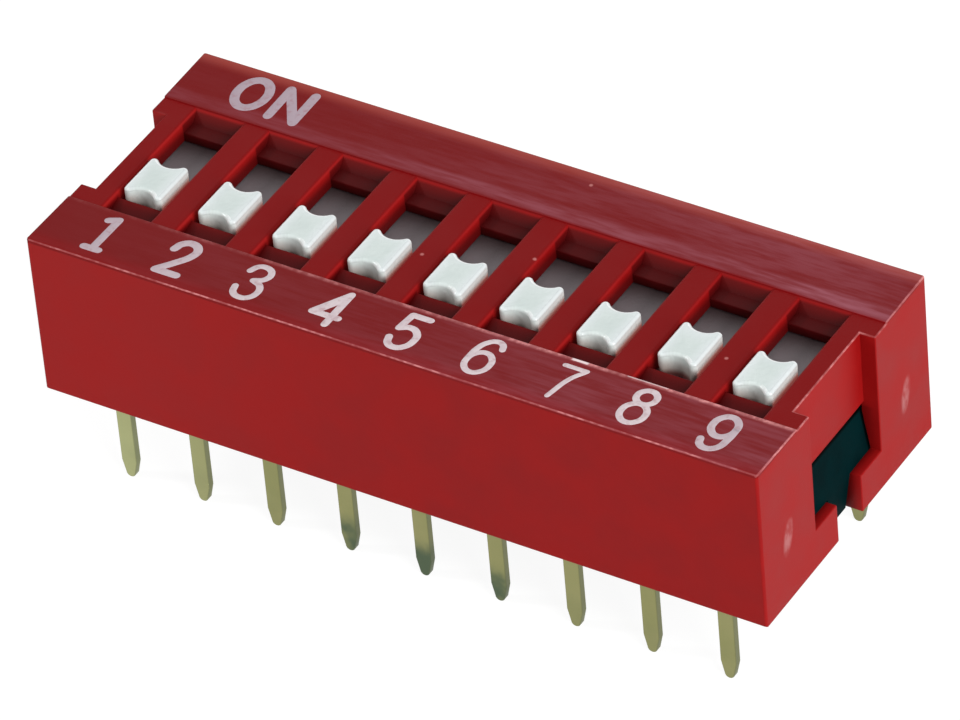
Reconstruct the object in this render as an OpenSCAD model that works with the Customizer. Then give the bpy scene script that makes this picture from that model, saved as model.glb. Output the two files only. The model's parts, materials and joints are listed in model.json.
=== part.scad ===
// Nine-position slide DIP switch with through-hole pins, in millimetres.
// The origin is the middle of the seating plane, where the cover's rim meets the circuit board.
// X runs along the row of positions, Y runs from the numbered side to the ON side, and Z points up.

/* [Positions] */
// Number of switch positions
positions = 9; // [2:1:12]
// Distance from one position to the next
pitch = 2.54; // [2.4:0.01:2.8]

/* [Cover] */
// Length of the cover beyond the pitch of all positions
cover_extra = 1.4; // [1.2:0.05:2]
// Width of the cover, from the numbered side to the ON side
cover_w = 9.8; // [9.4:0.05:10.6]
// Height of the deck's ribs above the seating plane
cover_h = 5.55; // [5.3:0.05:6.5]
// Height of the two printed strips above the ribs
strip_rise = 0.1; // [0.05:0.01:0.3]
// Thickness of the two long walls
side_wall = 0.65; // [0.5:0.05:0.8]
// Thickness of the two end walls
end_wall = 0.6; // [0.5:0.05:0.75]
// Thickness of the deck that the knobs come through
deck_t = 0.68; // [0.5:0.02:0.9]

/* [Slots] */
// Width of each slot in the deck
slot_w = 1.6; // [1.3:0.05:1.8]
// Depth of the pockets at both ends of a slot, below the ribs
pocket_depth = 0.35; // [0.2:0.05:0.45]
// Length of a pocket's flat floor, along the slot
ledge_l = 0.5; // [0.3:0.01:0.6]
// Distance over which a pocket's sloped end wall runs up to the strip
pocket_run = 0.32; // [0.1:0.01:0.4]

/* [Ends] */
// Width of the recess in the middle of each end
notch_w = 3.84; // [3:0.02:4.4]
// Depth of that recess
notch_depth = 0.5; // [0.3:0.05:0.55]
// Height of the sill that the latch hooks over
sill_h = 1.35; // [1:0.05:1.6]
// Height of the latch window above the sill
window_h = 1.65; // [1.4:0.05:1.8]
// Width of the slit that lets the sill spread
slit_w = 1.4; // [0.8:0.05:2]
// Width of the wall that closes the recess at its sides, inside the cover
notch_side = 0.4; // [0.3:0.05:0.6]

/* [Slider] */
// Width of the knob, along the row
knob_w = 1.24; // [0.9:0.02:1.3]
// Length of the knob, along its travel
knob_l = 1.64; // [1.3:0.02:1.8]
// Height of the knob's top above the ribs
knob_rise = 0.17; // [0:0.01:0.6]
// Radius of the knob's upright corners
knob_corner_r = 0.13; // [0.05:0.01:0.16]
// Width of the finger scoop in the knob's two end faces
scoop_w = 0.88; // [0.5:0.02:0.9]
// Depth of the finger scoop
scoop_depth = 0.23; // [0.1:0.01:0.35]
// Thickness of the plate that slides under the deck
plate_t = 0.7; // [0.5:0.05:0.8]
// How far the plate still reaches under the deck with the slider at its stop
plate_lap = 0.2; // [0.1:0.05:0.3]
// Position whose slider stands a little off its stop
loose_position = 8; // [1:1:12]
// How far that slider stands off its stop
loose_back = 0.2; // [0:0.05:0.3]

/* [Base] */
// Thickness of the base's floor
base_t = 2.6; // [2.4:0.05:2.7]
// Thickness of the walls between the positions
partition_t = 0.4; // [0.3:0.02:0.5]
// How far the latch tab's lower edge stands out of the base's end
tab_reach = 0.32; // [0.2:0.02:0.5]
// How far the latch tab's upper edge stands out of the base's end
tab_top_reach = 0.06; // [0.02:0.01:0.1]
// How far the gusset under the latch tab stands out of the base's end at the seating plane
gusset_foot = 0.1; // [0.05:0.01:0.2]
// Thickness of the post behind each latch tab
post_t = 0.5; // [0.4:0.05:0.55]

/* [Terminals] */
// Distance from each long face of the cover to the middle of the pins behind it
pin_inset = 1.09; // [1:0.01:1.3]
// Width of a pin, along the row
pin_w = 0.52; // [0.4:0.02:0.7]
// Thickness of the sheet that the terminals are stamped from
sheet_t = 0.25; // [0.2:0.01:0.3]
// Length of a pin below the seating plane
pin_below = 3.4; // [2.8:0.05:4]
// Length of the taper at a pin's end
tip_l = 0.6; // [0.5:0.05:1.2]
// Width of a pin at its end
tip_w = 0.32; // [0.2:0.02:0.38]
// Width of the contact pad
pad_w = 1.2; // [1:0.05:1.4]
// Distance by which the foot clears the far pad when the switch is off
open_gap = 0.4; // [0.3:0.05:0.6]
// Distance by which a foot lies inside the edge of a pad when the switch is on
pad_lap = 0.15; // [0.1:0.01:0.2]

/* [Contact spring] */
// Thickness of the spring leaf
leaf_t = 0.12; // [0.08:0.01:0.15]
// Width of the spring leaf
leaf_w = 1.1; // [0.9:0.05:1.14]
// Length of the leaf's flat middle, which sits on the slider
leaf_flat = 1; // [0.9:0.05:1.2]
// Distance from the leaf's middle to the lowest point of each foot
foot_out = 1.15; // [1.05:0.02:1.25]
// Radius of each foot, at the middle of the leaf
foot_r = 0.25; // [0.2:0.01:0.3]
// Diameter of the peg that holds the leaf on the slider
peg_d = 0.5; // [0.4:0.02:0.6]
// Length of that peg below the plate
peg_l = 0.4; // [0.3:0.05:0.5]
// Width of the two rails beside the leaf
rail_w = 0.25; // [0.2:0.01:0.27]
// Height of the two rails beside the leaf
rail_h = 0.3; // [0.2:0.05:0.4]

/* [Fits] */
// Gap between the plate and the deck above it
plate_gap = 0.04; // [0.02:0.01:0.08]
// Gap between the plate and the walls beside it
guide_gap = 0.08; // [0.05:0.01:0.1]
// Gap between the plate's end and the long wall at each stop
plate_end_gap = 0.43; // [0.2:0.01:0.6]
// Gap between the knob and the slot's end at each stop
stop_gap = 0.04; // [0.02:0.01:0.08]
// Gap between a foot of the spring and the pads below it
foot_gap = 0.04; // [0.02:0.01:0.08]
// Gap between the base and the cover's inside
base_gap = 0.03; // [0.02:0.01:0.06]
// Gap between the top of the partitions and the deck
partition_gap = 0.07; // [0.04:0.01:0.1]
// Gap all round the latch tab in its window
tab_gap = 0.05; // [0.03:0.01:0.1]
// Gap round each terminal in the base
terminal_gap = 0.02; // [0.01:0.01:0.04]
// Gap round the spring leaf's hole and beside its edges
leaf_gap = 0.03; // [0.02:0.01:0.05]

/* [Hidden] */
$fn = 48;
// Overlap of joined shapes and overrun of cuts
bite = 0.2;
// Flats in each bent or rounded end of the stamped pieces
bend_steps = 8;
// Direction in which the curl of a spring's foot ends, seen from the middle of its bend
curl_end = 340;

cover_red = "#b0262a";
base_green = "#0d2b2b";
knob_white = "#e8eeea";
pin_gold = "#b5a86a";
spring_copper = "#c08a52";

// Outer and inner limits of the cover
half_l = (positions * pitch + cover_extra) / 2;
half_w = cover_w / 2;
cavity_x = half_l - end_wall;
cavity_y = half_w - side_wall;
deck_z = cover_h - deck_t;
pocket_z = cover_h - pocket_depth;
window_z = sill_h + window_h;
notch_x = half_l - notch_depth;
guide_x = (positions * pitch - partition_t) / 2;

// Slots, as long as the plates' room between the long walls allows:
// slot_l / 2 + travel + plate_lap = cavity_y - plate_end_gap, solved for slot_l
slot_l = (cavity_y - plate_end_gap - plate_lap + knob_l + 2 * stop_gap) * 2 / 3;
pocket_floor_l = slot_l + 2 * ledge_l;
pocket_top_l = pocket_floor_l + 2 * pocket_run;

// Slider, from its stop at the numbered side to its stop at the ON side
travel = slot_l - knob_l - 2 * stop_gap;
plate_w = pitch - partition_t - 2 * guide_gap;
plate_l = slot_l + travel + 2 * plate_lap;
plate_top = deck_z - plate_gap;
plate_z = plate_top - plate_t;
scoop_r = (scoop_w * scoop_w / 4 + scoop_depth * scoop_depth) / (2 * scoop_depth);

// Base and terminals
base_x = cavity_x - base_gap;
base_y = cavity_y - base_gap;
tab_w = notch_w - 2 * tab_gap;
tab_low = sill_h + tab_gap;
tab_top = window_z - tab_gap;
pin_y = half_w - pin_inset;
pad_top = base_t + sheet_t;
foot_z = pad_top + foot_gap;
front_pad_end = travel / 2 - foot_out + pad_lap;
rear_pad_end = -travel / 2 + foot_out + open_gap;

// Middle of a position along the row
function position_x(i) = (i - (positions + 1) / 2) * pitch;

// Place of a slider along its travel at rest: all stand at the numbered side, one a little off its stop
function slider_y(i) = -travel / 2 + (i == loose_position ? loose_back : 0);

// Points of a strip of even thickness along a path
function unit(v) = v / norm(v);
function path_normal(path, k) =
    let (
        ahead = path[min(k + 1, len(path) - 1)],
        behind = path[max(k - 1, 0)],
        along = unit(ahead - behind)
    )
    [-along[1], along[0]];
function strip_points(path, thickness) = concat(
    [for (k = [0 : len(path) - 1]) path[k] + path_normal(path, k) * thickness / 2],
    [for (k = [len(path) - 1 : -1 : 0]) path[k] - path_normal(path, k) * thickness / 2]
);

// Block given by its lowest and highest corners
module block(low, high) {
    translate(low) cube(high - low);
}

// Outline in the YZ plane, given a thickness along X about the middle
module across(thickness) {
    translate([-thickness / 2, 0, 0]) rotate([90, 0, 90]) linear_extrude(thickness) children();
}

// Outline in the XZ plane, given a thickness along Y about the middle
module along_row(thickness) {
    translate([0, thickness / 2, 0]) rotate([90, 0, 0]) linear_extrude(thickness) children();
}

// Both ends of the switch, from the shape at its +X end
module both_ends() {
    children();
    mirror([1, 0, 0]) children();
}

// Red moulded cover: a box open below, with a slotted deck and a latch window at each end
module cover() {
    color(cover_red) {
        difference() {
            union() {
                block([-half_l, -half_w, 0], [half_l, half_w, cover_h]);
                for (side = [-1, 1]) {
                    printed_strip(side);
                }
            }
            block([-cavity_x, -cavity_y, -bite], [cavity_x, cavity_y, deck_z]);
            for (i = [1 : positions]) {
                translate([position_x(i), 0, 0]) slot();
            }
            both_ends() end_cuts();
        }
        both_ends() notch_wall();
    }
}

// Raised strip beside the slots, which carries the numbers or the ON mark
module printed_strip(side) {
    strip_w = half_w - pocket_top_l / 2;
    translate([0, side * (half_w - strip_w / 2), cover_h])
        block([-half_l, -strip_w / 2, -bite], [half_l, strip_w / 2, strip_rise]);
}

// Slot through the deck, with a sloped pocket at each of its ends
module slot() {
    top = cover_h + strip_rise + bite;
    block([-slot_w / 2, -slot_l / 2, deck_z - bite], [slot_w / 2, slot_l / 2, top]);
    across(slot_w) polygon([
        [-pocket_floor_l / 2, pocket_z],
        [pocket_floor_l / 2, pocket_z],
        [pocket_top_l / 2, cover_h],
        [pocket_top_l / 2, top],
        [-pocket_top_l / 2, top],
        [-pocket_top_l / 2, cover_h]
    ]);
}

// Recess, latch window and slit of one end
module end_cuts() {
    top = cover_h + strip_rise + bite;
    block([notch_x, -notch_w / 2, sill_h], [half_l + bite, notch_w / 2, top]);
    block([cavity_x - bite, -notch_w / 2, sill_h], [half_l + bite, notch_w / 2, window_z]);
    block([cavity_x - bite, -slit_w / 2, -bite], [half_l + bite, slit_w / 2, sill_h + bite]);
}

// Wall behind the recess above the window, which also guides the end slider
module notch_wall() {
    reach_y = notch_w / 2 + notch_side;
    block([guide_x, -reach_y, window_z], [cavity_x, reach_y, deck_z]);
}

// Dark moulded base: a floor with walls between the positions and a latch tab at each end
module base() {
    color(base_green) difference() {
        union() {
            block([-base_x, -base_y, 0], [base_x, base_y, base_t]);
            for (i = [1 : positions - 1]) {
                translate([position_x(i) + pitch / 2, 0, 0]) partition();
            }
            both_ends() latch();
            both_ends() gusset();
        }
        for (i = [1 : positions], side = [-1, 1]) {
            translate([position_x(i), side * pin_y, 0]) terminal_slot();
        }
    }
}

// Wall between two positions
module partition() {
    block(
        [-partition_t / 2, -base_y, base_t - bite],
        [partition_t / 2, base_y, deck_z - partition_gap]
    );
}

// Latch tab with its post, sloped so that it slips past the sill and then hooks over it
module latch() {
    along_row(tab_w) polygon([
        [base_x - post_t, base_t - bite],
        [base_x - post_t, tab_top],
        [base_x + tab_top_reach, tab_top],
        [base_x + tab_reach, tab_low],
        [base_x - bite, tab_low],
        [base_x - bite, base_t - bite]
    ]);
}

// Gusset that carries the latch tab from below, in the slit between the two halves of the sill
module gusset() {
    along_row(slit_w - 2 * tab_gap) polygon([
        [base_x - bite, 0],
        [base_x + gusset_foot, 0],
        [base_x + tab_reach, tab_low],
        [base_x - bite, tab_low + bite]
    ]);
}

// Slot in the base's floor that a terminal's pin goes through
module terminal_slot() {
    slot_x = pin_w / 2 + terminal_gap;
    slot_y = sheet_t / 2 + terminal_gap;
    block([-slot_x, -slot_y, -bite], [slot_x, slot_y, base_t + bite]);
}

// White slider: a plate under the deck, a knob through the slot, and a peg and rails for the spring
module slider(i) {
    color(knob_white) translate([position_x(i), slider_y(i), 0]) {
        block([-plate_w / 2, -plate_l / 2, plate_z], [plate_w / 2, plate_l / 2, plate_top]);
        translate([0, 0, plate_top - bite])
            linear_extrude(cover_h + knob_rise - plate_top + bite) knob_outline();
        translate([0, 0, plate_z - peg_l]) cylinder(d = peg_d, h = peg_l + bite);
        for (side = [-1, 1]) {
            translate([side * (leaf_w / 2 + leaf_gap + rail_w / 2), 0, 0]) rail();
        }
    }
}

// Knob from above: a rounded rectangle with a finger scoop in each end face
module knob_outline() {
    straight_w = knob_w - 2 * knob_corner_r;
    straight_l = knob_l - 2 * knob_corner_r;
    difference() {
        union() {
            square([straight_w, knob_l], center = true);
            square([knob_w, straight_l], center = true);
            for (x = [-1, 1], y = [-1, 1]) {
                translate([x * straight_w / 2, y * straight_l / 2]) circle(knob_corner_r);
            }
        }
        for (y = [-1, 1]) {
            translate([0, y * (knob_l / 2 - scoop_depth + scoop_r)]) circle(scoop_r);
        }
    }
}

// Rail under the plate that keeps the spring leaf straight
module rail() {
    block([-rail_w / 2, -leaf_flat / 2, plate_z - rail_h], [rail_w / 2, leaf_flat / 2, plate_z + bite]);
}

// Bridging contact: a spring leaf with a flat middle on the slider and a round foot at each end
module contact_spring(i) {
    leaf_z = plate_z - leaf_t / 2;
    arc_z = foot_z + leaf_t / 2 + foot_r;
    // Where the leg leaves the flat and where it runs into the foot's arc
    start = [leaf_flat / 2, leaf_z];
    arc_mid = [foot_out, arc_z];
    span = arc_mid - start;
    lean = atan2(span[1], span[0]) + acos(foot_r / norm(span)) + 180;
    curl = [for (k = [0 : bend_steps]) lean + (curl_end - lean) * k / bend_steps];
    half_path = concat(
        [start],
        [for (angle = curl) arc_mid + foot_r * [cos(angle), sin(angle)]]
    );
    path = concat(
        [for (k = [len(half_path) - 1 : -1 : 0]) [-half_path[k][0], half_path[k][1]]],
        half_path
    );
    color(spring_copper) translate([position_x(i), slider_y(i), 0]) difference() {
        across(leaf_w) polygon(strip_points(path, leaf_t));
        translate([0, 0, leaf_z - leaf_t]) cylinder(d = peg_d + 2 * leaf_gap, h = 2 * leaf_t);
    }
}

// Stamped terminal of one row: a flat pin through the base and a contact pad on the base's floor
module terminal(i, side, pad_end) {
    color(pin_gold) translate([position_x(i), 0, 0]) {
        translate([0, side * pin_y, 0]) along_row(sheet_t) pin_outline();
        block(
            [-pad_w / 2, min(side * (pin_y + sheet_t / 2), pad_end), base_t],
            [pad_w / 2, max(side * (pin_y + sheet_t / 2), pad_end), pad_top]
        );
    }
}

// Pin from the front: a straight blade with a tapered, rounded end
module pin_outline() {
    round_r = tip_w / 2;
    round = [for (k = [0 : bend_steps]) 180 + 180 * k / bend_steps];
    polygon(concat(
        [
            [-pin_w / 2, base_t + sheet_t / 2],
            [-pin_w / 2, -pin_below + tip_l]
        ],
        [for (angle = round) [0, round_r - pin_below] + round_r * [cos(angle), sin(angle)]],
        [
            [pin_w / 2, -pin_below + tip_l],
            [pin_w / 2, base_t + sheet_t / 2]
        ]
    ));
}

cover();
base();
for (i = [1 : positions]) {
    slider(i);
    contact_spring(i);
    terminal(i, -1, front_pad_end);
    terminal(i, 1, rear_pad_end);
}
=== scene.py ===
# A nine-position slide DIP switch: a slotted red cover snapped over a dark base that carries two rows of
# pins, with nine white sliders between them. Everything is in metres, in the frame's own axes.
import json
import math

import bmesh
import bpy
from mathutils import Color, Matrix, Vector


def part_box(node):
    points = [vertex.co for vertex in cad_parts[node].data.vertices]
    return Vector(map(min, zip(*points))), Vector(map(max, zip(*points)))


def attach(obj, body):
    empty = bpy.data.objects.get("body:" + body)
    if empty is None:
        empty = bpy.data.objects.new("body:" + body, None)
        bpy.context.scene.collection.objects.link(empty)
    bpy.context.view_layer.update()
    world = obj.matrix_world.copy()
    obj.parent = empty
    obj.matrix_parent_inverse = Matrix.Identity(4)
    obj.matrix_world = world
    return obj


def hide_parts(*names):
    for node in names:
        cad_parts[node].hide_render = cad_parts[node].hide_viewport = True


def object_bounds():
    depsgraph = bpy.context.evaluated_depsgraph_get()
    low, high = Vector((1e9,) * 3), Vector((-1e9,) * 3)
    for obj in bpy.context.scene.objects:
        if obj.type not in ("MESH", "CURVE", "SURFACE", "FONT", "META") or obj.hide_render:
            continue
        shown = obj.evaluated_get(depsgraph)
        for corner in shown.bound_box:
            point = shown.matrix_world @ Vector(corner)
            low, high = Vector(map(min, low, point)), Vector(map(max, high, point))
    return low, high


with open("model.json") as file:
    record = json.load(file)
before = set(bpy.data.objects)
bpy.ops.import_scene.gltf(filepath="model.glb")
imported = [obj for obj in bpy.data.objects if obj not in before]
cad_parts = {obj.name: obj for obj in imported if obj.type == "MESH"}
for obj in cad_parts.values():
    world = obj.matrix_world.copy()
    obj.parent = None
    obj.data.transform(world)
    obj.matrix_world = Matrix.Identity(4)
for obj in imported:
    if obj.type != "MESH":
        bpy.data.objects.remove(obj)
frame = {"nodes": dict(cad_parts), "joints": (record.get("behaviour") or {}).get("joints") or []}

cad_low, cad_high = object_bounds()

# Base
# The base is one dark moulding: a floor, walls between the positions and a sloped latch tab at each end.
# It is pushed up into the cover until the tabs snap over the sills.
MM = 0.001
BASE_EDGE = 0.03 * MM
TAB_TOP = 2.95 * MM
TAB_HALF_W = 1.87 * MM
TAB_SHADOW_RIM = 0.2 * MM          # how far the painted shadow round a tab reaches over it
TAB_REACH = 1.1 * MM        # the tabs lie nearer to the ends of the switch than this


def shade(red, green, blue):
    """A colour written as it looks on a screen, from 0 to 255, in the linear form that shaders take."""
    return (*Color((red / 255, green / 255, blue / 255)).from_srgb_to_scene_linear(), 1)


def add(tree, kind, inputs=None, **settings):
    """A new node, with its settings and with a value or a link for each input that is named."""
    made = tree.nodes.new(kind)
    for key, value in settings.items():
        setattr(made, key, value)
    for socket, value in (inputs or {}).items():
        if isinstance(value, bpy.types.NodeSocket):
            tree.links.new(value, made.inputs[socket])
        else:
            made.inputs[socket].default_value = value
    return made


def blend(tree, factor, first, second):
    """The colour that lies between two colours."""
    mix = add(tree, "ShaderNodeMix", data_type="RGBA")
    ends = {"Factor_Float": factor, "A_Color": first, "B_Color": second}
    sockets = {socket.identifier: socket for socket in mix.inputs}
    for identifier, value in ends.items():
        if isinstance(value, bpy.types.NodeSocket):
            tree.links.new(value, sockets[identifier])
        else:
            sockets[identifier].default_value = value
    return next(socket for socket in mix.outputs if socket.identifier == "Result_Color")


def math_node(tree, operation, first, second=0.0):
    """The result of one sum on two values."""
    return add(tree, "ShaderNodeMath", {0: first, 1: second}, operation=operation).outputs[0]


def product(tree, *values):
    """Some values multiplied with each other."""
    result = values[0]
    for value in values[1:]:
        result = math_node(tree, "MULTIPLY", result, value)
    return result


def ramp(tree, value, start, end, low=0.0, high=1.0):
    """A value eased from low to high while another runs from start to end."""
    sockets = {"Value": value, "From Min": start, "From Max": end, "To Min": low, "To Max": high}
    return add(tree, "ShaderNodeMapRange", sockets, interpolation_type="SMOOTHSTEP").outputs["Result"]


def place_on_piece(tree):
    """The place on a piece, followed by its X, Y and Z."""
    place = add(tree, "ShaderNodeTexCoord").outputs["Object"]
    return place, *add(tree, "ShaderNodeSeparateXYZ", {"Vector": place}).outputs


def make_grain():
    """Node group: the fine grain and the broad mottling of a moulded or rolled surface."""
    group = bpy.data.node_groups.new("surface_grain", "ShaderNodeTree")
    for name in ("Grain Scale", "Mottle Scale"):
        group.interface.new_socket(name, in_out="INPUT", socket_type="NodeSocketFloat")
    for name in ("Grain", "Mottle"):
        group.interface.new_socket(name, in_out="OUTPUT", socket_type="NodeSocketFloat")
    given = add(group, "NodeGroupInput")
    result = add(group, "NodeGroupOutput")
    place = add(group, "ShaderNodeTexCoord").outputs["Object"]
    for name, detail in (("Grain", 2), ("Mottle", 5)):
        sockets = {"Vector": place, "Scale": given.outputs[name + " Scale"], "Detail": detail}
        noise = add(group, "ShaderNodeTexNoise", sockets)
        group.links.new(noise.outputs["Fac"], result.inputs[name])
    return group


SURFACE_GRAIN = make_grain()


def finish(name, deep, pale, grain_scale, mottle_scale, relief, rough, **fixed):
    """A material whose colour is mottled between two shades, with a grain of the given relief.

    It returns the material, its shader and the socket that holds the mottled colour.
    """
    material = bpy.data.materials.new(name)
    material.use_nodes = True
    tree = material.node_tree
    shader = tree.nodes["Principled BSDF"]
    scales = {"Grain Scale": grain_scale, "Mottle Scale": mottle_scale}
    grain = add(tree, "ShaderNodeGroup", node_tree=SURFACE_GRAIN)
    for socket, value in scales.items():
        grain.inputs[socket].default_value = value
    colour = blend(tree, ramp(tree, grain.outputs["Mottle"], 0.3, 0.7), deep, pale)
    tree.links.new(colour, shader.inputs["Base Color"])
    tree.links.new(ramp(tree, grain.outputs["Mottle"], 0.2, 0.8, *rough), shader.inputs["Roughness"])
    bump = add(tree, "ShaderNodeBump", {"Height": grain.outputs["Grain"], "Distance": relief})
    tree.links.new(bump.outputs["Normal"], shader.inputs["Normal"])
    for socket, value in fixed.items():
        shader.inputs[socket.replace("_", " ")].default_value = value
    return material, shader, colour


def merged_copy(node):
    """A bmesh of a node's shape, with its loose triangles merged into whole flat faces."""
    shape = bmesh.new()
    shape.from_mesh(frame["nodes"][node].data)
    bmesh.ops.remove_doubles(shape, verts=shape.verts, dist=0.001 * MM)
    flat = math.radians(1)
    bmesh.ops.dissolve_limit(shape, angle_limit=flat, verts=shape.verts, edges=shape.edges)
    return shape


def sharp_edges(shape):
    """The outward corners of a shape."""
    corner = math.radians(40)
    return [edge for edge in shape.edges if edge.is_manifold and edge.calc_face_angle_signed() > corner]


def round_edges(shape, edges, radius, segments):
    """Rounds some edges of a shape."""
    bmesh.ops.bevel(
        shape, geom=edges, offset=radius, offset_type="OFFSET", segments=segments, profile=0.5,
        affect="EDGES", material=-1, clamp_overlap=False,
    )


def new_piece(name, shape, material, body, nodes):
    """Makes a piece of a bmesh: it rides on a body, stands for CAD nodes and has evenly lit flat faces."""
    mesh = bpy.data.meshes.new(name)
    shape.to_mesh(mesh)
    shape.free()
    for attribute in [a for a in mesh.attributes if a.name == "custom_normal"]:
        mesh.attributes.remove(attribute)
    mesh.materials.clear()
    mesh.materials.append(material)
    mesh.shade_smooth()
    mesh.set_sharp_from_angle(angle=math.radians(40))
    piece = bpy.data.objects.new(name, mesh)
    bpy.context.scene.collection.objects.link(piece)
    piece.modifiers.new("flat_faces", "WEIGHTED_NORMAL").keep_sharp = True
    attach(piece, body)
    if nodes:
        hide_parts(*nodes)


def base_finish():
    """Matt black-green plastic, with a painted black shadow where a latch tab dips into the slit behind the
    cover's end wall.
    """
    material, shader, colour = finish(
        "dark_base_plastic", shade(0, 20, 22), shade(1, 27, 29), 14000, 900, 0.004 * MM, (0.5, 0.65),
        Specular_IOR_Level=0.01,
    )
    tree = material.node_tree
    _, x, y, z = place_on_piece(tree)
    # Painted shadow: black along the top and sides of each tab, under the cover's end wall.
    above = ramp(tree, z, TAB_TOP - TAB_SHADOW_RIM, TAB_TOP - 0.09 * MM)
    beside = ramp(tree, math_node(tree, "ABSOLUTE", y), TAB_HALF_W - TAB_SHADOW_RIM, TAB_HALF_W - 0.08 * MM)
    tabs_from = cad_high.x - TAB_REACH
    at_end = ramp(tree, math_node(tree, "ABSOLUTE", x), tabs_from, tabs_from + 0.1 * MM, 0, 0.92)
    gap_shadow = product(tree, math_node(tree, "MAXIMUM", above, beside), at_end)
    tree.links.new(blend(tree, gap_shadow, colour, (0, 0, 0, 1)), shader.inputs["Base Color"])
    return material


base = merged_copy("base")
round_edges(base, sharp_edges(base), BASE_EDGE, 3)
new_piece("base_moulding", base, base_finish(), "housing", ["base"])

# Pins
# Eighteen flat blades stamped from plated brass strip, each with a contact pad inside the switch.
# They are pressed through the base's floor, and their sheared edges are slightly rounded.
PIN_EDGE = 0.03 * MM
PALE_PINS = (cad_low.x + MM, cad_low.x + 8 * MM)            # along the row: the pins grow darker here
STAINED_PINS = (2.8 * MM, 4.5 * MM)                         # from the row's middle: the stain wanes here
STAIN_TOP = (cad_low.z + 0.8 * MM, cad_low.z + 1.6 * MM)    # up the pins: the stain ends here
positions = range(1, len(frame["joints"]) + 1)


def fade(tree, value, start, end, level=1.0):
    """A level that holds until a value reaches start, and is gone where it reaches end."""
    return ramp(tree, value, start, end, level, 0)


def stretched_noise(tree, place, scale, stretch, detail):
    """Noise drawn out by a factor along each axis."""
    mapped = add(tree, "ShaderNodeMapping", {"Vector": place, "Scale": stretch}).outputs["Vector"]
    sockets = {"Vector": mapped, "Scale": scale, "Detail": detail}
    return add(tree, "ShaderNodeTexNoise", sockets).outputs["Fac"]


def face_value(tree, name):
    """A value that is stored on the faces of a piece."""
    return add(tree, "ShaderNodeAttribute", attribute_name=name).outputs["Fac"]


def pin_finish():
    """Dull plating, paler towards the first position and stained on some pins, with dark sheared sides."""
    material, shader, colour = finish(
        "plated_brass", shade(139, 139, 92), shade(150, 148, 102), 9000, 700, 0.003 * MM, (0.36, 0.5),
        Metallic=1,
    )
    tree = material.node_tree
    place, x, _, z = place_on_piece(tree)
    colour = blend(tree, fade(tree, x, *PALE_PINS), colour, shade(168, 171, 124))
    on_some = ramp(tree, math_node(tree, "ABSOLUTE", x), *STAINED_PINS, 1, 0.12)
    stain = product(tree, on_some, fade(tree, z, *STAIN_TOP))
    blotches = ramp(tree, stretched_noise(tree, place, 900, (1, 1, 0.8), 3), 0.38, 0.6, 0.25, 1)
    colour = blend(tree, product(tree, stain, blotches), colour, shade(82, 96, 74))
    sides = product(tree, face_value(tree, "sheared"), 0.6)
    colour = blend(tree, sides, colour, shade(96, 101, 74))
    tree.links.new(colour, shader.inputs["Base Color"])
    return material


pin_metal = pin_finish()
for side in ("front", "rear"):
    for i in positions:
        node = f"{side}_terminal_{i}"
        pin = merged_copy(node)
        round_edges(pin, sharp_edges(pin), PIN_EDGE, 3)
        sheared = pin.faces.layers.float.new("sheared")
        for face in pin.faces:
            face[sheared] = abs(face.normal.x)
        new_piece(f"{side}_pin_{i}", pin, pin_metal, "housing", [node])

# Contact springs
# Each slider carries a bent leaf of copper alloy under its plate, which bridges the two pads when it is ON.
# The leaf is hidden in the housing, so its own solid is shown, with a rolled metal finish.
spring_metal = finish(
    "spring_copper", shade(176, 112, 66), shade(200, 140, 90), 12000, 800, 0.002 * MM, (0.28, 0.4),
    Metallic=1,
)[0]
for i in positions:
    leaf = frame["nodes"][f"contact_spring_{i}"]
    leaf.data.materials.clear()
    leaf.data.materials.append(spring_metal)

# Sliders
# Each slider is one white nylon moulding: a plate that runs under the deck, with a knob through the slot,
# a peg and two rails below. The knob has a finger scoop in each end face and well-rounded edges, and the
# sides that face the red ribs carry a faint painted glow in place of light let through the nylon.
PITCH = 2.54 * MM           # distance from one slider to the next
KNOB_W = 1.29 * MM
KNOB_L = 1.64 * MM
KNOB_EDGE = 0.11 * MM
EAR_R = 0.14 * MM           # radius of the knob's four upright corners
SCOOP_DEPTH = 0.22 * MM
PLATE_TOP = 4.83 * MM       # height of the plate's upper face above the seating plane
PLATE_T = 0.7 * MM
PLATE_EDGE = 0.05 * MM
PEG_D = 0.5 * MM
RAIL = Vector((0.25, 1.0, 0.3)) * MM
RAIL_X = 0.705 * MM         # distance of each rail from the slider's middle
BITE = 0.1 * MM             # how far the joined shapes reach into each other
ARC_STEPS = 10
# Stretches along Y, with the slider at rest, over which its painted light and shade change
KNOB_LIT_TOP = (-0.75 * MM, -0.1 * MM)        # the knob's top gets painted light towards the rear
PLATE_DARKER = (-2.3 * MM, -1.95 * MM)      # the plate before the knob gets its painted shade
PLATE_PALER = (-1.3 * MM, -1.0 * MM)        # and loses it
DECK_SHADE = (0.5 * MM, 1.8 * MM)           # the plate behind the knob gets painted shadow towards the deck


def verts_in(made):
    """The vertices among an operator's results."""
    return [part for part in made if isinstance(part, bmesh.types.BMVert)]


def block(shape, middle, size):
    """Adds a box to a shape, given by its middle and its size, and returns its edges."""
    place = Matrix.Translation(middle) @ Matrix.Diagonal((*size, 1))
    corners = bmesh.ops.create_cube(shape, size=1, matrix=place)["verts"]
    return list({edge for corner in corners for edge in corner.link_edges})


def turn(shape, start, centre, angle):
    """Draws an arc from a vertex about a centre, and returns the arc's last vertex."""
    spun = bmesh.ops.spin(shape, geom=[start], cent=centre, axis=(0, 0, 1), angle=angle, steps=ARC_STEPS)
    return verts_in(spun["geom_last"])[0]


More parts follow.
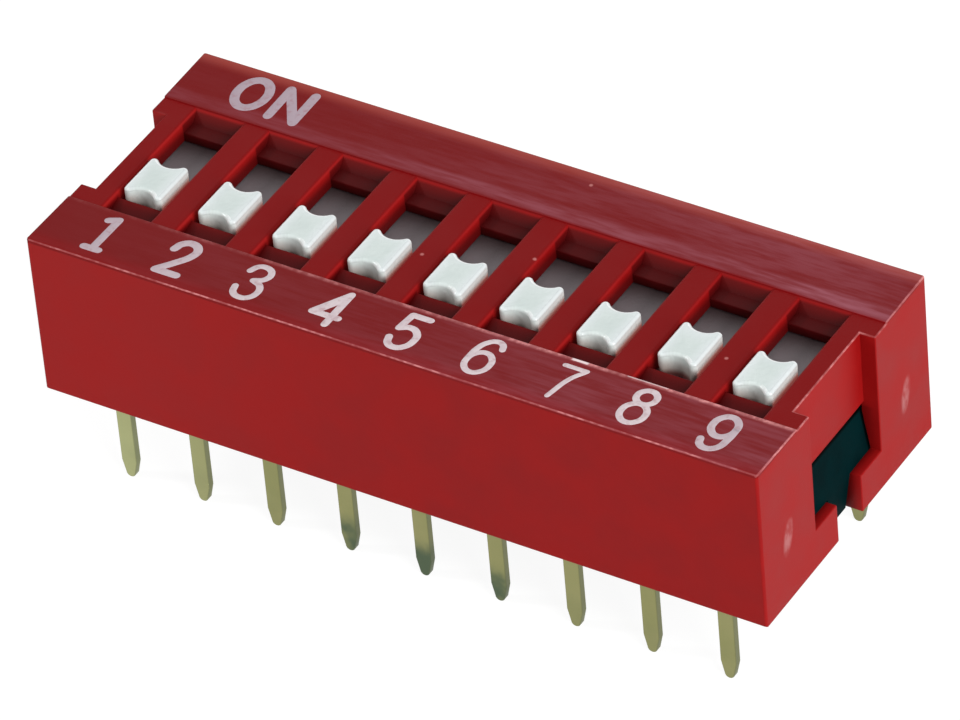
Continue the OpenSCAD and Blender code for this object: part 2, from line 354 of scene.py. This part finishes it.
def add_knob(shape, top):
    """Adds a knob about the Z axis: its outline is drawn as arcs and lines, drawn up and rounded."""
    foot = PLATE_TOP - BITE
    ear = Vector((KNOB_W / 2 - EAR_R, KNOB_L / 2 - EAR_R, foot))
    reach = (ear.x ** 2 + SCOOP_DEPTH ** 2) / (2 * SCOOP_DEPTH)     # from an ear's centre to the scoop's
    scoop_y = ear.y + reach - SCOOP_DEPTH
    swing = math.atan2(scoop_y - ear.y, -ear.x)
    first = shape.verts.new((KNOB_W / 2, ear.y, foot))
    vert = first
    for end in (1, -1):
        vert = turn(shape, vert, (end * ear.x, end * ear.y, foot), swing)
        vert = turn(shape, vert, (0, end * scoop_y, foot), math.pi - 2 * swing)
        vert = turn(shape, vert, (-end * ear.x, end * ear.y, foot), swing)
        if end == 1:
            vert = bmesh.ops.extrude_vert_indiv(shape, verts=[vert])["verts"][0]
            bmesh.ops.translate(shape, verts=[vert], vec=(0, -2 * ear.y, 0))
    shape.edges.new((vert, first))
    outline = [edge for edge in shape.edges if edge.is_wire]
    face = bmesh.ops.contextual_create(shape, geom=outline)["faces"]
    raised = verts_in(bmesh.ops.extrude_face_region(shape, geom=face)["geom"])
    bmesh.ops.translate(shape, verts=raised, vec=(0, 0, top - foot))
    rim = [edge for edge in shape.edges if all(vert in raised for vert in edge.verts)]
    round_edges(shape, rim, KNOB_EDGE, 4)


def mark_knob(shape):
    """Stores how far each face of the knob is a flank, and where its rim has a painted highlight (1) or
    shade (-1).
    """
    flank = shape.faces.layers.float.new("flank")
    rim = shape.faces.layers.float.new("rim")
    for face in shape.faces:
        if face.calc_center_median().z > PLATE_TOP:
            face[flank] = max(0, 5 * abs(face.normal.x) - 4)
            if 0.1 < face.normal.z < 0.99:
                outward = face.normal.xy.normalized()
                pale = 2 * max(outward.y, -outward.x) - 0.4
                shaded_rim = 2 * (outward.x - max(outward.y, 0)) - 0.4
                face[rim] = min(max(pale, 0), 1) - min(max(shaded_rim, 0), 1)


def slider_shape(node):
    """A slider at its place: the plate, the knob, the peg and the rails."""
    low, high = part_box(node)
    shape = bmesh.new()
    plate_mid = Vector((0, 0, PLATE_TOP - PLATE_T / 2))
    plate = block(shape, plate_mid, (high.x - low.x, high.y - low.y, PLATE_T))
    round_edges(shape, plate, PLATE_EDGE, 2)
    plate_low = PLATE_TOP - PLATE_T
    for side in (-1, 1):
        rail_mid = Vector((side * RAIL_X, 0, plate_low - RAIL.z / 2 + BITE / 2))
        block(shape, rail_mid, RAIL + Vector((0, 0, BITE)))
    peg_h = plate_low - low.z + BITE
    peg_place = Matrix.Translation((0, 0, low.z + peg_h / 2))
    bmesh.ops.create_cone(
        shape, cap_ends=True, segments=24, radius1=PEG_D / 2, radius2=PEG_D / 2, depth=peg_h,
        matrix=peg_place,
    )
    add_knob(shape, high.z)
    bmesh.ops.recalc_face_normals(shape, faces=shape.faces)
    mark_knob(shape)
    middle = (low + high) / 2
    bmesh.ops.translate(shape, verts=shape.verts, vec=(middle.x, middle.y, 0))
    return shape


def above_plate(tree, z, start, end, level=1.0):
    """A level that holds up to a height above the plate and is gone at another, both in millimetres."""
    return fade(tree, z, PLATE_TOP + start * MM, PLATE_TOP + end * MM, level)


def slider_finish():
    """Glossy white nylon with painted light and shade on its sides, top, foot and plate, which is also
    grimy.
    """
    material, shader, colour = finish(
        "white_slider_nylon", shade(203, 214, 211), shade(210, 220, 217), 7000, 1200, 0.014 * MM,
        (0.16, 0.3), Specular_IOR_Level=0.5, Emission_Strength=1,
    )
    tree = material.node_tree
    _, x, y, z = place_on_piece(tree)
    flank = face_value(tree, "flank")
    # Painted red reflection and shade on the knob's sides, stronger low down where the ribs shade them.
    colour = blend(tree, product(tree, flank, 0.5), colour, shade(202, 194, 191))
    low_flank = product(tree, flank, above_plate(tree, z, 0.36, 0.66, 0.85))
    colour = blend(tree, low_flank, colour, shade(240, 172, 156))
    # Painted highlight on the rear and left rims, painted shade on the right rim.
    rim = face_value(tree, "rim")
    colour = blend(tree, product(tree, rim, 0.75), colour, shade(250, 252, 251))
    colour = blend(tree, product(tree, rim, -0.6), colour, shade(176, 183, 182))
    # Painted light: the knob's top is paler towards its sides and its rear.
    wrap = {0: x, 1: PITCH / 2, 2: -PITCH / 2}
    across = math_node(tree, "ABSOLUTE", add(tree, "ShaderNodeMath", wrap, operation="WRAP").outputs[0])
    to_side = ramp(tree, across, 0.2 * MM, 0.6 * MM, 0, 0.4)
    to_rear = ramp(tree, y, *KNOB_LIT_TOP, 0, 0.4)
    on_top = ramp(tree, z, cad_high.z - KNOB_EDGE, cad_high.z - 0.02 * MM)
    paler = product(tree, math_node(tree, "MAXIMUM", to_side, to_rear), on_top)
    colour = blend(tree, paler, colour, shade(232, 236, 240))
    # Painted shade down the knob's end faces, tinted by red reflection: grey, then brown, then dark red at
    # the foot.
    endwise = math_node(tree, "SUBTRACT", 1.0, flank)
    to_ears = ramp(tree, across, 0.15 * MM, 0.45 * MM, 0.34, 0.75)
    grey = product(tree, above_plate(tree, z, 0.5, 0.86), endwise, to_ears)
    colour = blend(tree, grey, colour, shade(164, 156, 152))
    brown = product(tree, above_plate(tree, z, 0.2, 0.72, 0.55), endwise)
    colour = blend(tree, brown, colour, shade(150, 112, 96))
    foot = product(tree, above_plate(tree, z, 0.14, 0.38, 0.85), endwise)
    colour = blend(tree, foot, colour, shade(106, 27, 27))
    # The plate is grey: partly grime, partly painted shade.
    on_plate = above_plate(tree, z, 0.02, 0.1)
    colour = blend(tree, on_plate, colour, shade(124, 117, 120))
    # Painted shade on the plate before the knob, and painted shadow of the deck on it behind the knob.
    before_knob = product(tree, ramp(tree, y, *PLATE_DARKER), fade(tree, y, *PLATE_PALER, 0.9))
    colour = blend(tree, product(tree, on_plate, before_knob), colour, shade(62, 12, 12))
    under_deck = product(tree, on_plate, ramp(tree, y, *DECK_SHADE, 0, 0.85))
    colour = blend(tree, under_deck, colour, shade(42, 14, 16))
    tree.links.new(colour, shader.inputs["Base Color"])
    # Painted glow (emission) on the lower sides, standing in for light let through the nylon.
    paler_up = ramp(tree, z, PLATE_TOP + 0.44 * MM, PLATE_TOP + 0.6 * MM)
    glow = blend(tree, paler_up, shade(112, 50, 44), shade(132, 110, 102))
    painted_glow_mask = product(tree, flank, above_plate(tree, z, 0.5, 0.66))
    glow = blend(tree, painted_glow_mask, (0, 0, 0, 1), glow)
    tree.links.new(glow, shader.inputs["Emission Color"])
    gloss = shader.inputs["Roughness"].links[0].from_socket
    dull_plate = product(tree, on_plate, 0.6)
    tree.links.new(math_node(tree, "MAXIMUM", gloss, dull_plate), shader.inputs["Roughness"])
    return material


slider_plastic = slider_finish()
for i in positions:
    node = f"slider_{i}"
    new_piece(f"slide_knob_{i}", slider_shape(node), slider_plastic, f"position_{i}", [node])

# Cover
# The cover is one red moulding that carries the slots, a lip before each slot and two printed strips, which
# fall slightly towards the slots. Handling has worn its edges pale, with painted highlights along them, and
# wiping has left a thin film of the white print on the strips. Its tops and slots carry painted shade.
COVER_CORNER = 0.08 * MM    # radius of the long edges and the upright corners
COVER_EDGE = 0.04 * MM      # radius of the other edges
RIB_EDGE = 0.12 * MM        # radius of the ribs' edges along the slots
RIB_TOP = 5.55 * MM
STRIP_INNER = 2.6 * MM      # where both strips begin, from the middle of the switch
STRIP_OUTER = 4.3 * MM      # where the paler outer edge of both strips begins
STRIP_EDGE = 5.6 * MM       # height of both strips where they begin, from where they rise outwards
SLOTS_END = 11.25 * MM      # the slots lie nearer to the middle than this
SLOT_END = 1.78 * MM        # half the length of a slot
LEDGE_START = 1.75 * MM     # where the ledge behind each slot begins
POCKET_FLOOR = 5.2 * MM
FRONT_LIP = 5.35 * MM       # height of each front ledge at the slot, from where it falls to the strip
LIGHTER_RED_END = 2 * MM          # the red is lighter at the left end, and less and less up to here
LINE_FULL = 4 * MM          # the front strip's inner edge is worn and painted with a highlight, more and more up to here
RIGHT_REAR_EDGE_MARK = 1           # how much edges are worn pale and painted with glints: at the right end where they face the rear,
RIGHT_EDGE_MARK = 0.5          # elsewhere at the right end,
LEFT_EDGE_MARK = 0.04          # at the left end
FRONT_EDGE_MARK = 0.55         # and along the front
SMEARS = (                  # start, end, width and strength of each smear of print
    (4.86 * MM, 5.48 * MM, 0.14 * MM, 0.9),
    (6.65 * MM, 8.05 * MM, 0.09 * MM, 0.5),
)
SMEAR_END = 0.1 * MM        # length over which a smear fades out
SCUFF_Y = 3.45 * MM         # distance of the two scuffs from the middle of the right end
SCUFF_Z = 2.3 * MM
SCUFF_HALF_W = 0.3 * MM
SCUFF_HALF_H = 0.7 * MM
SCUFF_LEAN = 0.5
SPECKS = [
    Vector(spot) * MM
    for spot in ((8.79, -0.71, 5.55), (-1.41, -0.43, 5.55), (1.63, 0.79, 5.55), (1.45, 4.34, 5.65))
]
cover_low, cover_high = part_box("cover")
strip_top = cover_high.z
strip_slope = math.atan2(strip_top - STRIP_EDGE, cover_high.y - STRIP_INNER)


def near(value, place):
    """Whether a coordinate lies at a place, but for rounding."""
    return abs(value - place) < 0.01 * MM


cover = merged_copy("cover")
front_lips = [vert for vert in cover.verts if near(vert.co.z, POCKET_FLOOR) and near(vert.co.y, -SLOT_END)]
bmesh.ops.translate(cover, verts=front_lips, vec=(0, 0, FRONT_LIP - POCKET_FLOOR))
strip_edges = [
    vert for vert in cover.verts if near(vert.co.z, strip_top) and near(abs(vert.co.y), STRIP_INNER)
]
bmesh.ops.translate(cover, verts=strip_edges, vec=(0, 0, STRIP_EDGE - strip_top))
long_edges = [
    edge for edge in sharp_edges(cover)
    if all(abs(vert.co.y) > cover_high.y - COVER_EDGE for vert in edge.verts)
]
round_edges(cover, long_edges, COVER_CORNER, 3)
rib_edges = [
    edge for edge in sharp_edges(cover)
    if all(near(vert.co.z, RIB_TOP) and abs(vert.co.x) < SLOTS_END for vert in edge.verts)
    and near(edge.verts[0].co.x, edge.verts[1].co.x)
]
round_edges(cover, rib_edges, RIB_EDGE, 3)
round_edges(cover, sharp_edges(cover), COVER_EDGE, 3)
# Rounded rims at the ends and along the front: worn pale, with painted highlights.
worn_and_glinting = cover.faces.layers.float.new("worn_and_glinting")
for face in cover.faces:
    middle = face.calc_center_median()
    rounded = max(abs(part) for part in face.normal) < 0.98
    if rounded and middle.z > RIB_TOP - COVER_CORNER and abs(middle.x) > SLOTS_END:
        faces_rear = middle.y < 0 and face.normal.y > 0.3
        right = RIGHT_REAR_EDGE_MARK if faces_rear else RIGHT_EDGE_MARK
        face[worn_and_glinting] = right if middle.x > 0 else LEFT_EDGE_MARK
    elif 0.5 < face.normal.z < 0.9 and middle.z > RIB_TOP and middle.y < COVER_CORNER - cover_high.y:
        face[worn_and_glinting] = FRONT_EDGE_MARK


def on_strips(tree, z):
    """One on the strips, which stand higher than the ribs."""
    return ramp(tree, z, RIB_TOP + 0.02 * MM, STRIP_EDGE - 0.005 * MM)


def on_strip_edges(tree, z, level=1.0):
    """A level that holds on the strips and on their rounded inner edges."""
    return ramp(tree, z, RIB_TOP + 0.015 * MM, RIB_TOP + 0.035 * MM, 0, level)


def print_film(tree):
    """How much wiped print lies on the strips: long streaks, more to the right, and a band at the rear."""
    place, x, y, z = place_on_piece(tree)
    broad = stretched_noise(tree, place, 2600, (0.12, 1, 1), 3)
    fine = stretched_noise(tree, place, 8000, (0.12, 1, 1), 3)
    streaks = ramp(tree, math_node(tree, "ADD", broad, fine), 0.7, 1.3)
    patches = ramp(tree, stretched_noise(tree, place, 500, (0.4, 1, 1), 3), 0.35, 0.65, 0.6, 1)
    towards_right = ramp(tree, x, cover_low.x, cover_high.x, 0.008, 0.075)
    thin = product(tree, towards_right, math_node(tree, "ADD", streaks, 0.3))
    band_start = ramp(tree, y, STRIP_INNER, STRIP_INNER + 0.1 * MM)
    band_end = fade(tree, y, STRIP_INNER + 0.4 * MM, STRIP_INNER + 0.65 * MM)
    band_level = ramp(tree, x, cover_low.x, cover_high.x, 0.035, 0.085)
    thick = product(tree, band_start, band_end, band_level, math_node(tree, "ADD", streaks, 0.6))
    return product(tree, math_node(tree, "ADD", thin, thick), patches, on_strips(tree, z))


def edge_wear_and_glint(tree):
    """How much the edges are worn pale and painted with highlights: fine beads on the rims and on the front
    strip's inner edge.
    """
    place, x, y, z = place_on_piece(tree)
    line = product(
        tree,
        ramp(tree, y, -STRIP_INNER - 0.2 * MM, -STRIP_INNER - 0.06 * MM),
        fade(tree, y, -STRIP_INNER - 0.01 * MM, -STRIP_INNER + 0.02 * MM),
        on_strip_edges(tree, z),
        ramp(tree, x, cover_low.x, LINE_FULL, 0.06, 0.7),
    )
    beads = ramp(tree, stretched_noise(tree, place, 11000, (0.5, 0.5, 1), 3), 0.4, 0.68, 0.4, 1)
    patches = ramp(tree, stretched_noise(tree, place, 600, (1, 1, 1), 2), 0.38, 0.6, 0.4, 1)
    marks = math_node(tree, "MAXIMUM", face_value(tree, "worn_and_glinting"), line)
    return product(tree, marks, beads, patches)


def stray_ink(tree, start, end, width, level):
    """A short smear of print along the front strip's inner edge, from one place on it to another."""
    _, x, y, z = place_on_piece(tree)
    along = product(tree, ramp(tree, x, start, start + SMEAR_END), fade(tree, x, end - SMEAR_END, end))
    outer = -STRIP_INNER - width
    across = product(
        tree,
        ramp(tree, y, outer, outer + 0.04 * MM),
        fade(tree, y, -STRIP_INNER - 0.03 * MM, -STRIP_INNER),
    )
    return product(tree, along, across, on_strip_edges(tree, z, level))


def end_scuff(tree, middle_y):
    """A soft upright scuff on the right-hand end face, which leans towards the rear."""
    place, x, y, z = place_on_piece(tree)
    up = math_node(tree, "DIVIDE", math_node(tree, "SUBTRACT", z, SCUFF_Z), SCUFF_HALF_H)
    across = math_node(tree, "DIVIDE", math_node(tree, "SUBTRACT", y, middle_y), SCUFF_HALF_W)
    across = math_node(tree, "SUBTRACT", across, product(tree, up, SCUFF_LEAN))
    away = math_node(tree, "ADD", product(tree, up, up), product(tree, across, across))
    on_end = ramp(tree, x, cover_high.x - 0.1 * MM, cover_high.x)
    blotches = ramp(tree, stretched_noise(tree, place, 5000, (1, 1, 0.6), 3), 0.35, 0.65, 0.05, 0.2)
    return product(tree, fade(tree, away, 0.1, 1), on_end, blotches)


def dust(tree):
    """Four pale specks: three on the ribs and one on the rear strip."""
    place = place_on_piece(tree)[0]
    marks = 0.0
    for spot in SPECKS:
        away = add(tree, "ShaderNodeVectorMath", {0: place, 1: spot}, operation="DISTANCE").outputs["Value"]
        marks = math_node(tree, "MAXIMUM", fade(tree, away, 0.03 * MM, 0.08 * MM, 0.45), marks)
    return marks


def cover_finish():
    """Satin red plastic, painted with shade on top and in the slots, with print, wear and painted edge
    highlights.
    """
    material, shader, colour = finish(
        "red_cover_plastic", shade(136, 12, 13), shade(144, 15, 15), 16000, 700, 0.003 * MM, (0.42, 0.55),
        Specular_IOR_Level=0.1,
    )
    tree = material.node_tree
    _, x, y, z = place_on_piece(tree)
    along = math_node(tree, "ABSOLUTE", x)
    across = math_node(tree, "ABSOLUTE", y)
    lighter_left = fade(tree, x, cover_low.x, LIGHTER_RED_END, 0.5)
    colour = blend(tree, lighter_left, colour, shade(155, 24, 23))
    # Painted shade: the top faces are a darker red than the sides.
    at_top_level = ramp(tree, z, RIB_TOP - 0.04 * MM, RIB_TOP - 0.01 * MM)
    colour = blend(tree, at_top_level, colour, shade(121, 7, 9))
    strip_tone = product(tree, on_strips(tree, z), ramp(tree, across, STRIP_OUTER, cover_high.y, 1, -0.6))
    colour = blend(tree, strip_tone, colour, shade(113, 12, 13))
    inside = product(
        tree,
        fade(tree, across, STRIP_INNER, STRIP_INNER + 0.05 * MM),
        fade(tree, along, SLOTS_END - 0.05 * MM, SLOTS_END),
    )
    # Painted shade in the slots: darker lower down, and on the ledges behind and before each slot.
    low_slot_shade = fade(tree, z, POCKET_FLOOR - 0.1 * MM, RIB_TOP - 0.02 * MM, 0.7)
    colour = blend(tree, product(tree, inside, low_slot_shade), colour, shade(52, 3, 5))
    rear_shade = product(
        tree,
        ramp(tree, y, LEDGE_START - 0.05 * MM, LEDGE_START + 0.05 * MM),
        fade(tree, z, RIB_TOP - 0.12 * MM, RIB_TOP - 0.02 * MM, 0.62),
    )
    colour = blend(tree, product(tree, inside, rear_shade), colour, shade(40, 2, 4))
    front_shade = product(
        tree,
        fade(tree, y, -LEDGE_START - 0.05 * MM, -LEDGE_START + 0.05 * MM),
        fade(tree, z, FRONT_LIP - 0.1 * MM, FRONT_LIP + 0.18 * MM, 0.75),
    )
    colour = blend(tree, product(tree, inside, front_shade), colour, shade(54, 0, 2))
    # Painted shade on the sills and walls inside the end windows.
    sill_shade = product(
        tree,
        fade(tree, along, cover_high.x - 0.5 * MM, cover_high.x - 0.05 * MM, 0.8),
        fade(tree, z, TAB_TOP - 0.12 * MM, TAB_TOP - 0.02 * MM),
        fade(tree, across, TAB_HALF_W, TAB_HALF_W + 0.1 * MM),
    )
    colour = blend(tree, sill_shade, colour, shade(52, 2, 3))
    colour = blend(tree, print_film(tree), colour, shade(236, 168, 190))
    rear_edge = product(tree, at_top_level, ramp(tree, y, STRIP_OUTER, cover_high.y, 0, 0.16))
    colour = blend(tree, rear_edge, colour, shade(250, 150, 132))
    colour = blend(tree, edge_wear_and_glint(tree), colour, shade(246, 166, 166))
    for smear in SMEARS:
        colour = blend(tree, stray_ink(tree, *smear), colour, shade(242, 224, 226))
    for middle_y in (-SCUFF_Y, SCUFF_Y):
        colour = blend(tree, end_scuff(tree, middle_y), colour, shade(226, 190, 190))
    colour = blend(tree, dust(tree), colour, shade(224, 150, 146))
    tree.links.new(colour, shader.inputs["Base Color"])
    return material


new_piece("cover_moulding", cover, cover_finish(), "housing", ["cover"])

# Print
# The numbers one to nine and the ON mark are white pad print: thin domed lines of ink with round ends.
# They lie on the two sloping strips, each number in front of its slider.
INK_W = 0.24 * MM           # usual width of the numbers' lines, and below it each number's share of it
INK_SPREAD = {1: 1.08, 2: 1.12, 3: 0.88, 4: 1, 5: 0.95, 6: 0.83, 7: 0.7, 8: 0.86, 9: 0.95}
ON_INK_W = 0.3 * MM
INK_H = 0.008 * MM          # how far the ink stands above the strip
NUMBER_Y = -3.7 * MM
ON_MIDDLE = (-8.9 * MM, 3.78 * MM)
WORN_START = (-11 * MM, -2 * MM)    # along the first numbers, the wear of the ink fades out
WORN_END = (8 * MM, 11 * MM)        # and along the last it comes back


def oval(middle_x, middle_y, half_w, half_h, points=8):
    """A closed oval stroke, as points round its middle."""
    angles = [math.tau * k / points for k in range(points)]
    ring = [(middle_x + half_w * math.cos(a), middle_y + half_h * math.sin(a)) for a in angles]
    return ring + ring[:1]


# Strokes of each number, in millimetres about its middle: two points are a straight line, more are a curve
NUMBERS = {
    1: [[(-0.26, 0.6), (0.02, 0.74)], [(0.02, 0.74), (0.02, -0.72)], [(-0.26, -0.73), (0.23, -0.73)]],
    2: [
        [(-0.36, 0.32), (-0.25, 0.62), (0.04, 0.74), (0.31, 0.55), (0.3, 0.25), (0.0, -0.25),
         (-0.36, -0.72)],
        [(-0.36, -0.73), (0.36, -0.73)],
    ],
    3: [
        [(-0.38, 0.42), (-0.24, 0.68), (0.02, 0.74), (0.26, 0.56), (0.22, 0.24), (-0.06, 0.07)],
        [(-0.06, 0.07), (0.25, -0.08), (0.35, -0.38), (0.22, -0.68), (-0.02, -0.77), (-0.29, -0.66),
         (-0.4, -0.36)],
    ],
    4: [
        [(0.31, -0.75), (0.31, 0.74)],
        [(0.31, 0.74), (-0.34, -0.37)],
        [(0.31, 0.6), (-0.26, -0.36)],
        [(-0.34, -0.37), (0.52, -0.37)],
    ],
    5: [
        [(0.42, 0.73), (-0.17, 0.73)],
        [(-0.17, 0.73), (-0.24, 0.06)],
        [(-0.24, 0.06), (0.08, 0.2), (0.38, 0.03), (0.45, -0.27), (0.34, -0.62), (0.08, -0.77),
         (-0.17, -0.68), (-0.29, -0.4)],
    ],
    6: [
        [(0.39, 0.48), (0.3, 0.68), (0.08, 0.75), (-0.16, 0.58), (-0.3, 0.22), (-0.32, -0.25)],
        oval(0.05, -0.3, 0.37, 0.47),
    ],
    7: [[(-0.21, 0.7), (0.5, 0.7)], [(0.5, 0.7), (0.22, 0.2), (0.02, -0.72)]],
    8: [oval(0.05, 0.44, 0.3, 0.31), oval(0.04, -0.32, 0.37, 0.44)],
    9: [
        oval(0.11, 0.29, 0.36, 0.46),
        [(0.47, 0.35), (0.46, -0.2), (0.36, -0.6), (0.08, -0.77), (-0.16, -0.68), (-0.26, -0.44)],
    ],
}
ON_MARK = [
    oval(-0.88, 0, 0.47, 0.66, 12),
    [(0.07, -0.68), (0.07, 0.66)],
    [(0.07, 0.66), (0.91, -0.66)],
    [(0.91, -0.66), (0.91, 0.68)],
]


def ink(strokes, width, middle):
    """A bmesh of strokes of ink, flattened and laid on the sloping strip about a point."""
    lines = bpy.data.curves.new("ink_lines", "CURVE")
    lines.dimensions = "3D"
    lines.bevel_depth = width / 2
    lines.bevel_resolution = 2
    lines.resolution_u = 8
    ends = set()
    for stroke in strokes:
        closed = stroke[0] == stroke[-1]
        points = stroke[:-1] if closed else stroke
        line = lines.splines.new("BEZIER")
        line.bezier_points.add(len(points) - 1)
        line.use_cyclic_u = closed
        for knot, (along, up) in zip(line.bezier_points, points):
            knot.co = (along * MM, up * MM, 0)
            knot.handle_left_type = knot.handle_right_type = "AUTO" if len(points) > 2 else "VECTOR"
        if not closed:
            ends.update((points[0], points[-1]))
    holder = bpy.data.objects.new("ink_lines", lines)
    drawn = bpy.data.meshes.new_from_object(holder)
    shape = bmesh.new()
    shape.from_mesh(drawn)
    bpy.data.objects.remove(holder)
    bpy.data.curves.remove(lines)
    bpy.data.meshes.remove(drawn)
    end_r = 0.49 * width        # a little less than the line's, so that the two don't lie in one surface
    for along, up in sorted(ends):
        place = Matrix.Translation((along * MM, up * MM, 0))
        bmesh.ops.create_uvsphere(shape, u_segments=16, v_segments=8, radius=end_r, matrix=place)
    bmesh.ops.scale(shape, verts=shape.verts, vec=(1, 1, 2 * INK_H / width))
    tilt = Matrix.Rotation(math.copysign(strip_slope, middle[1]), 3, "X")
    bmesh.ops.rotate(shape, verts=shape.verts, cent=(0, 0, 0), matrix=tilt)
    height = STRIP_EDGE + (abs(middle[1]) - STRIP_INNER) * math.tan(strip_slope)
    bmesh.ops.translate(shape, verts=shape.verts, vec=(*middle, height))
    return shape


def ink_finish():
    """White ink that lets the red show through in spots, worn most at the ON mark and the outer numbers."""
    material, shader, colour = finish(
        "white_print", shade(204, 187, 192), shade(214, 200, 203), 20000, 3000, 0.002 * MM, (0.5, 0.65),
        Specular_IOR_Level=0.2,
    )
    tree = material.node_tree
    place, x, y, _ = place_on_piece(tree)
    outer = math_node(tree, "MAXIMUM", fade(tree, x, *WORN_START, 0.75), ramp(tree, x, *WORN_END, 0, 0.6))
    worn = math_node(tree, "MAXIMUM", outer, ramp(tree, y, 0, MM))
    colour = blend(tree, worn, colour, shade(172, 154, 164))
    thin_spots = ramp(tree, stretched_noise(tree, place, 5000, (1, 1, 1), 3), 0.5, 0.75, 0, 0.4)
    colour = blend(tree, thin_spots, colour, shade(150, 84, 92))
    tree.links.new(colour, shader.inputs["Base Color"])
    return material


ink_white = ink_finish()
for i in positions:
    pin_low, pin_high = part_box(f"front_terminal_{i}")
    number = ink(NUMBERS[i], INK_W * INK_SPREAD[i], ((pin_low.x + pin_high.x) / 2, NUMBER_Y))
    new_piece(f"number_{i}", number, ink_white, "housing", [])
new_piece("on_mark", ink(ON_MARK, ON_INK_W, ON_MIDDLE), ink_white, "housing", [])

# Stage
# The switch stands on the tips of its pins on a plain white floor, in soft light from the right, and the
# camera looks down on it from the right of its numbered side.
FLOOR_SIZE = 3.0
FLOOR_PALE = (0.8, 0.8, 0.8, 1)
FLOOR_SHADED = (0.16, 0.16, 0.16, 1)
FLOOR_GLOW = 0.91
SKY = 0.46


def seen_directly(tree):
    """One where a surface is looked at or mirrored, and nothing where it only sends light."""
    path = add(tree, "ShaderNodeLightPath").outputs
    mirrored = math_node(tree, "MAXIMUM", path["Is Glossy Ray"], path["Is Transmission Ray"])
    return math_node(tree, "MAXIMUM", path["Is Camera Ray"], mirrored)


def floor_finish():
    """Pale floor that looks white, and keeps a soft shadow."""
    material = bpy.data.materials.new("white_floor")
    material.use_nodes = True
    tree = material.node_tree
    tree.nodes.clear()
    plain = add(tree, "ShaderNodeBsdfDiffuse", {"Color": FLOOR_PALE}).outputs[0]
    dim = add(tree, "ShaderNodeBsdfDiffuse", {"Color": FLOOR_SHADED}).outputs[0]
    glow = add(tree, "ShaderNodeEmission", {"Strength": FLOOR_GLOW}).outputs[0]
    white = add(tree, "ShaderNodeAddShader", {0: dim, 1: glow}).outputs[0]
    mixed = add(tree, "ShaderNodeMixShader", {0: seen_directly(tree), 1: plain, 2: white}).outputs[0]
    add(tree, "ShaderNodeOutputMaterial", {"Surface": mixed})
    return material


ground = bmesh.new()
ground_place = Matrix.Translation((0, 0, cad_low.z))
bmesh.ops.create_grid(ground, x_segments=1, y_segments=1, size=FLOOR_SIZE / 2, matrix=ground_place)
floor_mesh = bpy.data.meshes.new("floor")
ground.to_mesh(floor_mesh)
ground.free()
floor_mesh.materials.append(floor_finish())
floor = bpy.data.objects.new("floor", floor_mesh)
bpy.context.scene.collection.objects.link(floor)

world = bpy.data.worlds.new("studio")
world.use_nodes = True
sky = world.node_tree
sky_level = add(sky, "ShaderNodeMapRange", {"Value": seen_directly(sky), "To Min": SKY, "To Max": 1.0})
sky.links.new(sky_level.outputs["Result"], sky.nodes["Background"].inputs["Strength"])
sky.nodes["Background"].inputs["Color"].default_value = (1, 1, 1, 1)
bpy.context.scene.world = world


def soft_light(name, direction, distance, size, level):
    """A square lamp that shines on the origin, at a level where 1 shows a colour as it is written."""
    lamp = bpy.data.lights.new(name, "AREA")
    lamp.shape = "SQUARE"
    lamp.size = size
    lamp.energy = level * math.pi ** 2 * distance ** 2
    light = bpy.data.objects.new(name, lamp)
    away = Vector(direction).normalized()
    light.location = away * distance
    light.rotation_euler = away.to_track_quat("Z", "Y").to_euler()
    bpy.context.scene.collection.objects.link(light)


soft_light("right_light", direction=(0.86, -0.3, 0.42), distance=0.45, size=0.3, level=1.12)
soft_light("left_light", direction=(-0.76, -0.3, 0.58), distance=0.4, size=0.05, level=0.3)

VIEW_AZIMUTH = math.radians(34.1)       # from straight in front towards the right
VIEW_ELEVATION = math.radians(39.375)
VIEW_ROLL = math.radians(-5.34)
VIEW_POINT = Vector((-0.505, 0.685, 1.1)) * MM
VIEW_DISTANCE = 248.29 * MM
VIEW_LENS = 320.23

lens = bpy.data.cameras.new("camera")
lens.sensor_fit = "HORIZONTAL"
lens.sensor_width = 36
lens.lens = VIEW_LENS
lens.clip_start = 0.01
camera = bpy.data.objects.new("camera", lens)
aim = Matrix.Rotation(VIEW_AZIMUTH, 4, "Z") @ Matrix.Rotation(math.pi / 2 - VIEW_ELEVATION, 4, "X")
aim = aim @ Matrix.Rotation(VIEW_ROLL, 4, "Z")
camera.matrix_world = Matrix.Translation(VIEW_POINT) @ aim @ Matrix.Translation((0, 0, VIEW_DISTANCE))
bpy.context.scene.collection.objects.link(camera)
bpy.context.scene.camera = camera
bpy.context.scene.view_settings.view_transform = "Standard"
